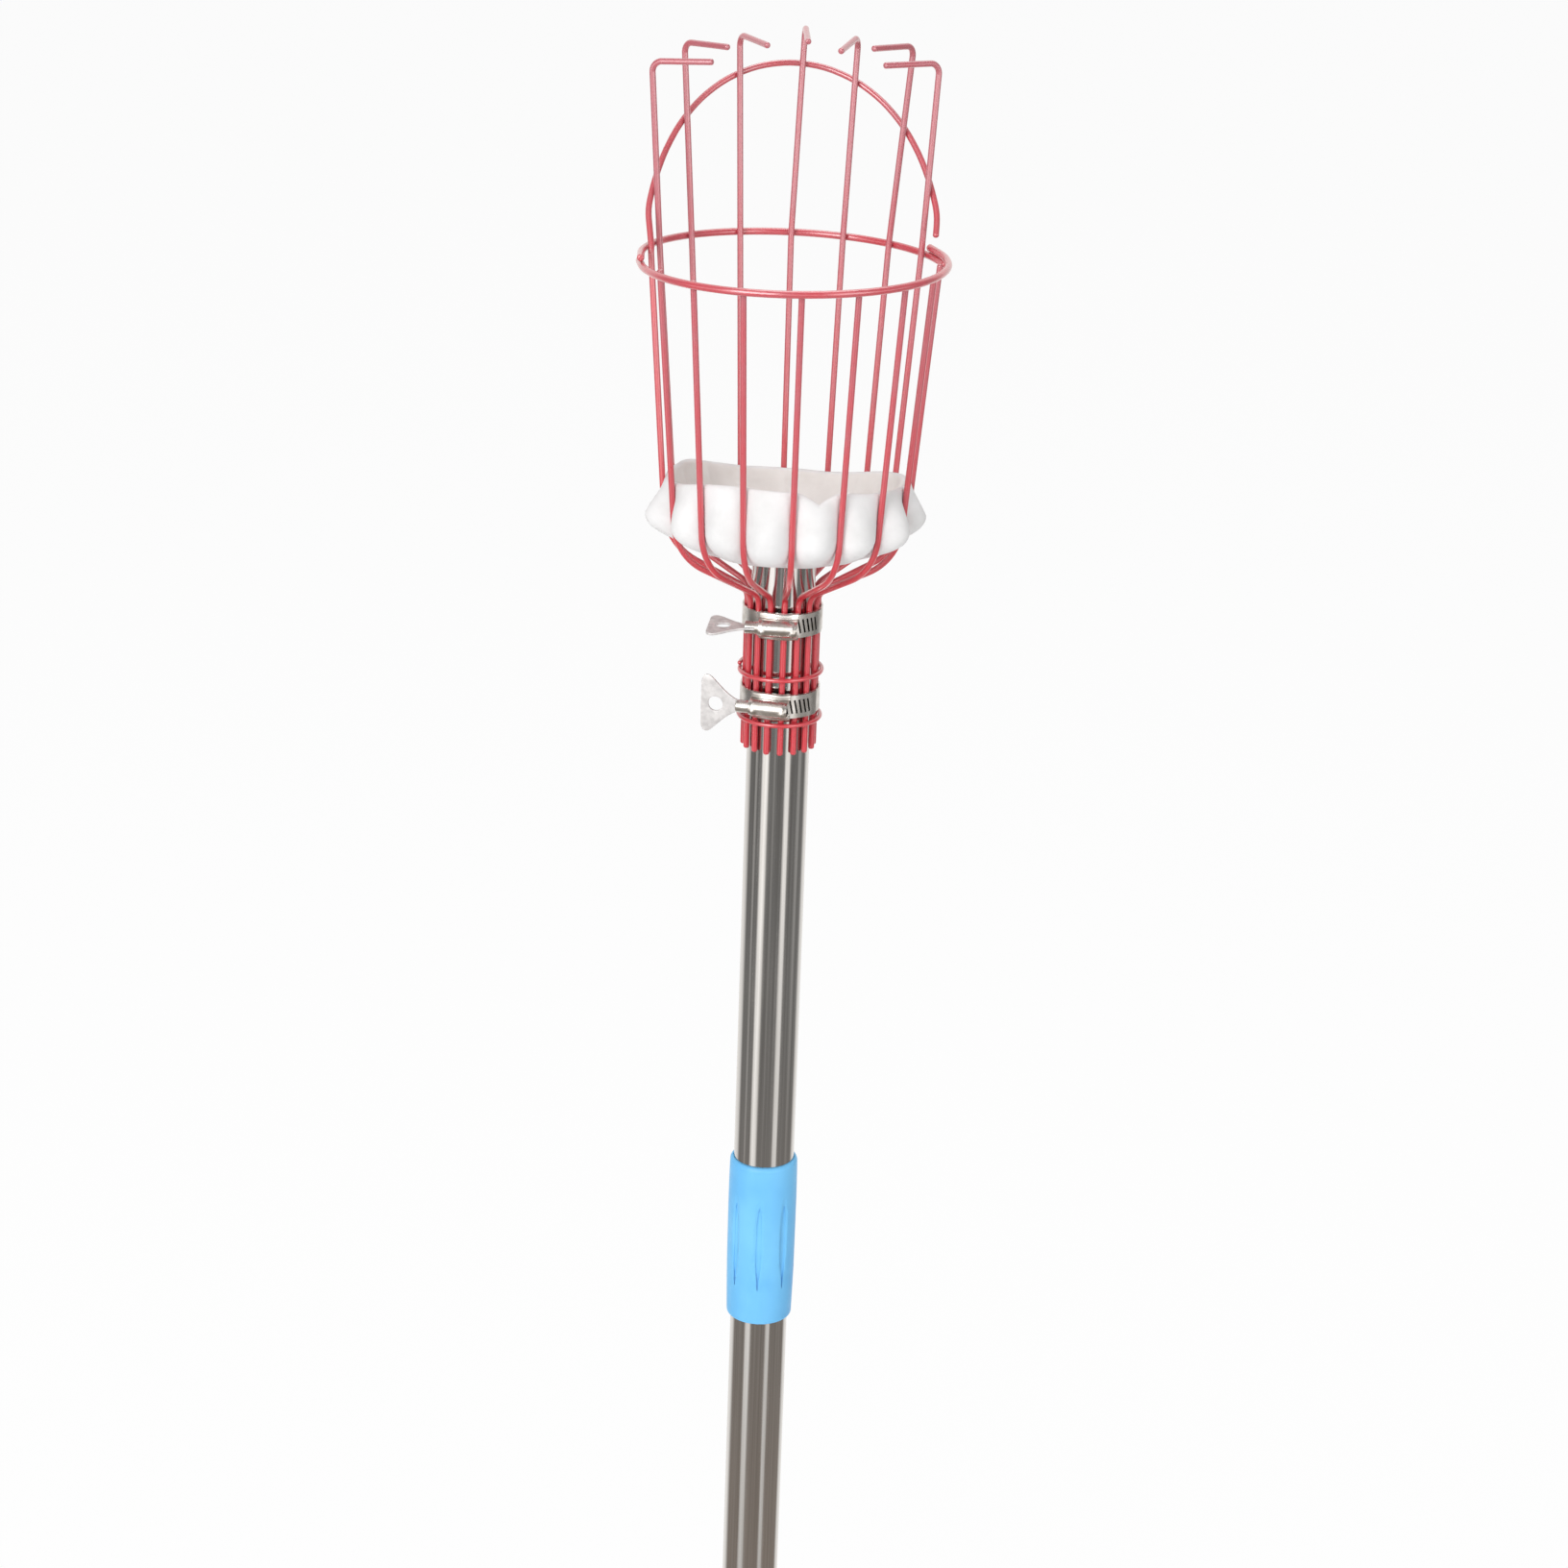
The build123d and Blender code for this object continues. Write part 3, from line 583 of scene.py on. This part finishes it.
def gripSleevePiece():  # the sleeve with the narrow grooves along the middle of its flutes
    cut = sleeveGrooves
    piece = bpy.data.objects.new("gripSleeve", nodes["grip_sleeve"].data.copy())
    scene.collection.objects.link(piece)
    selectOnly(piece)
    bpy.ops.object.mode_set(mode="EDIT")
    bpy.ops.mesh.select_all(action="SELECT")
    bpy.ops.mesh.remove_doubles(threshold=cut["weld"] * mm)
    lower, slope = cut["rimDrop"]
    pick(piece, lambda point: point.z > cut["top"] - near)
    bpy.ops.transform.translate(value=(0, 0, -lower * mm))
    pick(piece, lambda point: point.z > cut["top"] - lower - near and point.xy.length > cut["rim"])
    bpy.ops.transform.translate(value=(0, 0, -slope * mm))
    bpy.ops.mesh.bevel(offset=cut["rimRound"] * mm, segments=cut["rimFaces"], clamp_overlap=False)
    bpy.ops.object.mode_set(mode="OBJECT")
    for number in range(cut["count"]):
        startPiece()
        bpy.ops.mesh.primitive_uv_sphere_add(segments=cut["segments"], ring_count=cut["rings"], radius=1)
        tool = bpy.context.object
        tool.scale = (cut["deep"] * mm, cut["width"] / 2 * mm, cut["length"] / 2 * mm)
        tool.location = (cut["radius"] * mm, 0, cut["middle"] * mm)
        bpy.ops.object.transform_apply(location=True, rotation=True, scale=True)
        tool.rotation_euler = (0, 0, math.radians(cut["turn"] + 360 / cut["count"] * number))
        bpy.ops.object.transform_apply(location=True, rotation=True, scale=True)
        applyModifier(piece, "BOOLEAN", operation="DIFFERENCE", object=tool)
        bpy.data.objects.remove(tool)
    selectOnly(piece)
    bpy.ops.object.shade_smooth_by_angle(angle=math.radians(cut["smoothTo"]))
    dressPiece(piece, bluePlastic, "upper_pole", "grip_sleeve")


gripSleevePiece()
print("grip sleeve made")


studio = {
    "white": "#ffffff",
    "floorSize": 60,  # m
    "floorWhite": "#f4f4f4", "floorGlow": 0.93,
    "ambient": 0.52,
    "roomGrey": 0.19, "roomLow": 0.32,  # the room in front, as polished metal shows it, level and far below
    "tints": ((0, "#ffe8d6"), (0.7, "#fffcf9")),  # the room's light, warm far below
    "low": (-40, -16),  # degrees of height between which the room changes
    "strips": ((-47, 21, 1.5), (36, 16, 1.3), (-85, 9, 0.5),
               (88, 16, 0.42), (-12, 8, 0.36)),  # degrees, half width, level
    "stripCore": 0.25,  # share of a strip's half width that is fully lit
    "stripsLow": 0.42,  # share of the strips' level far below
    "horizon": (-14, -7, 4, 12), "horizonLevel": 1.7,  # degrees of height of the wall lights
    "horizonSide": (100, 75),  # degrees off the front between which they end
    "backdrop": (104, 138),  # degrees off the front where the white backdrop starts and is full
    "lamps": (("keyLamp", (-1.5, -2.3, 1.7), 1.6, 52), ("fillLamp", (1.7, -2.1, 1.2), 1.6, 14),
              ("topLamp", (0.2, 0.6, 2.8), 1.4, 16)),  # place and size in m, power in W
    "aim": (0, 0, 0.65),  # m, where the lamps point
}


def studioWorld():
    world = bpy.data.worlds.new("studioWorld")
    world.use_nodes = True
    tree = world.node_tree
    tree.nodes.clear()
    smooth = {"interpolation_type": "SMOOTHSTEP"}
    low, behind, wall, side = ([math.radians(degrees) for degrees in studio[name]]
                               for name in ("low", "backdrop", "horizon", "horizonSide"))
    out = addNode(tree, "OutputWorld")
    rays = addNode(tree, "LightPath")
    way = addNode(tree, "SeparateXYZ", {"Vector": addNode(tree, "TexCoord").outputs["Generated"]})
    back = addNode(tree, "Math", {0: way.outputs["Y"], 1: -1}, operation="MULTIPLY")
    turn = addNode(tree, "Math", {0: way.outputs["X"], 1: back.outputs["Value"]}, operation="ARCTAN2")
    off = addNode(tree, "Math", {0: turn.outputs["Value"]}, operation="ABSOLUTE")
    rise = addNode(tree, "Math", {0: way.outputs["Z"]}, operation="ARCSINE")
    level = addNode(tree, "MapRange", {"Value": rise.outputs["Value"], "From Min": low[0],
                                       "From Max": low[1]}, **smooth)
    room = addNode(tree, "MapRange", {"Value": level.outputs["Result"], "To Min": studio["roomLow"],
                                      "To Max": studio["roomGrey"]})
    fade = addNode(tree, "MapRange", {"Value": level.outputs["Result"], "To Min": studio["stripsLow"],
                                      "To Max": 1})
    backdrop = addNode(tree, "MapRange", {"Value": off.outputs["Value"], "From Min": behind[0],
                                          "From Max": behind[1]}, **smooth)
    lights = backdrop.outputs["Result"]
    for degrees, wide, bright in studio["strips"]:
        aside = addNode(tree, "Math", {0: turn.outputs["Value"], 1: math.radians(degrees)}, operation="SUBTRACT")
        size = addNode(tree, "Math", {0: aside.outputs["Value"]}, operation="ABSOLUTE")
        strip = addNode(tree, "MapRange", {"Value": size.outputs["Value"], "From Min": math.radians(wide),
                                           "From Max": math.radians(wide * studio["stripCore"]),
                                           "To Max": bright}, **smooth)
        dimmed = addNode(tree, "Math", {0: strip.outputs["Result"], 1: fade.outputs["Result"]},
                         operation="MULTIPLY")
        both = addNode(tree, "Math", {0: lights, 1: dimmed.outputs["Value"]}, operation="MAXIMUM")
        lights = both.outputs["Value"]
    foot = addNode(tree, "MapRange", {"Value": rise.outputs["Value"], "From Min": wall[0], "From Max": wall[1],
                                      "To Max": studio["horizonLevel"]}, **smooth)
    head = addNode(tree, "MapRange", {"Value": rise.outputs["Value"], "From Min": wall[3],
                                      "From Max": wall[2]}, **smooth)
    ends = addNode(tree, "MapRange", {"Value": off.outputs["Value"], "From Min": side[0],
                                      "From Max": side[1]}, **smooth)
    tall = addNode(tree, "Math", {0: foot.outputs["Result"], 1: head.outputs["Result"]}, operation="MULTIPLY")
    walls = addNode(tree, "Math", {0: tall.outputs["Value"], 1: ends.outputs["Result"]}, operation="MULTIPLY")
    both = addNode(tree, "Math", {0: lights, 1: walls.outputs["Value"]}, operation="MAXIMUM")
    lights = both.outputs["Value"]
    glow = addNode(tree, "Math", {0: lights, 1: room.outputs["Result"]}, operation="MAXIMUM")
    clear = addNode(tree, "Math", {0: lights, 1: level.outputs["Result"]}, operation="MAXIMUM")
    tint = addNode(tree, "ValToRGB", {"Fac": clear.outputs["Value"]})
    for stop, (position, colour) in zip(tint.color_ramp.elements, studio["tints"]):
        stop.position, stop.color = position, hexColour(colour)
    white = addNode(tree, "Background", {"Color": hexColour(studio["white"]), "Strength": 1.0})
    shown = addNode(tree, "Background", {"Color": tint.outputs["Color"], "Strength": glow.outputs["Value"]})
    soft = addNode(tree, "Background", {"Color": hexColour(studio["white"]), "Strength": studio["ambient"]})
    shiny = addNode(tree, "Math", {0: rays.outputs["Is Glossy Ray"], 1: rays.outputs["Is Transmission Ray"]},
                    operation="MAXIMUM")
    lit = addNode(tree, "MixShader", {0: shiny.outputs["Value"], 1: soft.outputs[0], 2: shown.outputs[0]})
    seen = addNode(tree, "MixShader", {0: rays.outputs["Is Camera Ray"], 1: lit.outputs[0], 2: white.outputs[0]})
    setInputs(tree, out, {"Surface": seen.outputs[0]})
    scene.world = world


def studioFloor():
    startPiece()
    bpy.ops.mesh.primitive_plane_add(size=studio["floorSize"], location=(0, 0, 0))
    floor = bpy.context.object
    floor.name = "studioFloor"
    material, tree, shader, _ = newMaterial("palePaper")
    setInputs(tree, shader, {"Base Color": hexColour(studio["floorWhite"]), "Roughness": 0.9,
                             "Specular IOR Level": 0.1})
    rays = addNode(tree, "LightPath")
    glow = addNode(tree, "Emission", {"Color": hexColour(studio["white"]), "Strength": 1.0})
    share = addNode(tree, "Math", {0: rays.outputs["Is Camera Ray"], 1: studio["floorGlow"]}, operation="MULTIPLY")
    mix = addNode(tree, "MixShader", {0: share.outputs["Value"], 1: shader.outputs[0], 2: glow.outputs[0]})
    setInputs(tree, tree.nodes["Material Output"], {"Surface": mix.outputs[0]})
    floor.data.materials.append(material)
    floor.visible_glossy = False  # polished metal shows the room and its backdrop instead


def studioLamps():
    for name, place, size, power in studio["lamps"]:
        data = bpy.data.lights.new(name, "AREA")
        data.shape = "SQUARE"
        data.size = size
        data.energy = power
        lamp = bpy.data.objects.new(name, data)
        scene.collection.objects.link(lamp)
        lamp.location = place
        lamp.rotation_euler = (Vector(studio["aim"]) - Vector(place)).to_track_quat("-Z", "Y").to_euler()


studioWorld()
studioFloor()
studioLamps()
print("studio lit")


photoView = {
    "size": 1632, "focal": 3500,  # pixels
    "sensor": 36,  # mm
    "distance": 1.4125, "height": 1.0925,  # m from the pole's axis and above the foot
    "pitch": 20.41, "roll": 2.01, "yaw": 3.38,  # degrees
    "aside": 0.0033,  # m to the right
}


def photoCamera():
    shot = photoView
    data = bpy.data.cameras.new("photoCamera")
    data.sensor_width = shot["sensor"]
    data.lens = shot["focal"] / shot["size"] * shot["sensor"]
    camera = bpy.data.objects.new("photoCamera", data)
    scene.collection.objects.link(camera)
    yaw, pitch = math.radians(shot["yaw"]), math.radians(shot["pitch"])
    ahead = Vector((math.sin(yaw) * math.cos(pitch), math.cos(yaw) * math.cos(pitch), -math.sin(pitch)))
    right = Vector((math.cos(yaw), -math.sin(yaw), 0))
    away = Vector((-math.sin(yaw), -math.cos(yaw), 0)) * shot["distance"]
    camera.location = away + right * shot["aside"] + Vector((0, 0, shot["height"]))
    turned = ahead.to_track_quat("-Z", "Y").to_matrix() @ Matrix.Rotation(math.radians(shot["roll"]), 3, "Z")
    camera.rotation_euler = turned.to_euler()
    scene.camera = camera


photoCamera()
print("camera set")
